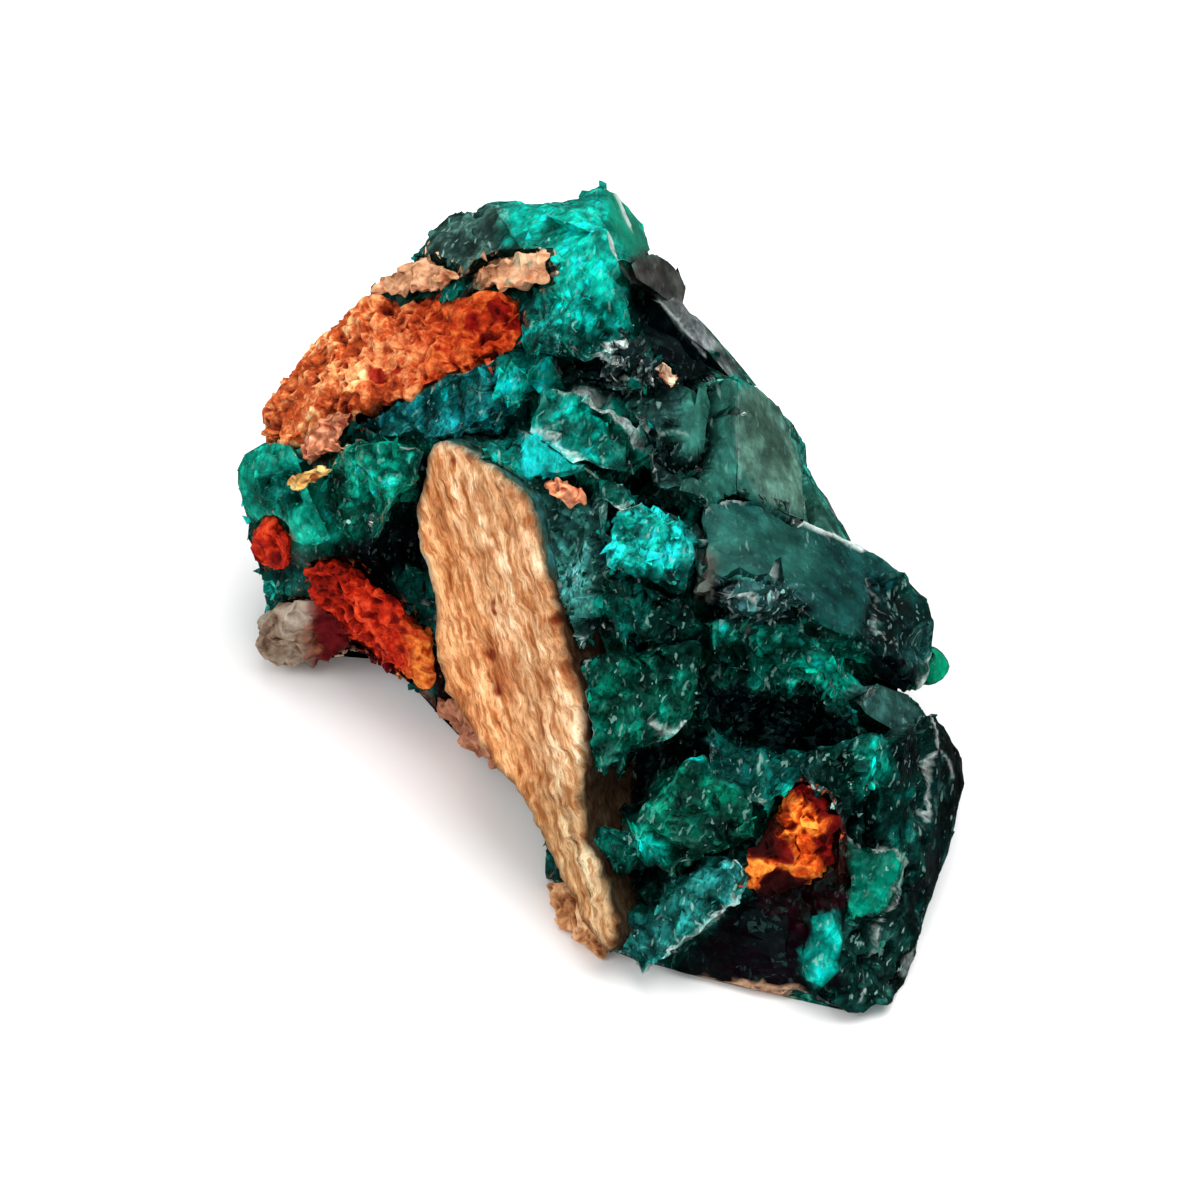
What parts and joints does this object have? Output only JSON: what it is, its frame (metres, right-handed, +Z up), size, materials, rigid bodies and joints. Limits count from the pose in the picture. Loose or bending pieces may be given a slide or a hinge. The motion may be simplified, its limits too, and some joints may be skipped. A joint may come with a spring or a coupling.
{
  "type": "rough dioptase specimen",
  "caption": "rough lump of grown-together blue-green dioptase crystals on relics of buff and iron-stained host rock, resting on a flat cleavage",
  "frame": {"origin": "middle of the specimen's box, on the surface it rests on", "axes": "+Z up out of the resting cleavage; the pictured face looks towards -Y and up; +X is to the right in the picture"},
  "size_m": [0.0366, 0.041, 0.0245],
  "materials": {
    "dioptase": "glassy, translucent blue-green crystal with frosted breaks",
    "buff_rock": "dull, fibrous buff host rock",
    "iron_ochre": "dull, pitted orange-red iron-stained rock",
    "pale_rock": "dull, frosted pinkish grey rock"
  },
  "bodies": {
    "root": {"dioptase_crystals": "dioptase", "buff_slab": "buff_rock", "upper_ochre_seam": "iron_ochre", "lower_ochre_seam": "iron_ochre", "front_ochre_pocket": "iron_ochre", "left_ochre_spot": "iron_ochre", "pale_nodule": "pale_rock", "upper_pale_patch_left": "pale_rock", "upper_pale_patch_right": "pale_rock", "under_slab_relic": "pale_rock", "foot_relic": "buff_rock", "pink_chip": "pale_rock", "yellow_chip": "buff_rock", "ridge_chip": "pale_rock", "recess_pebble": "buff_rock"}
  },
  "joints": []
}
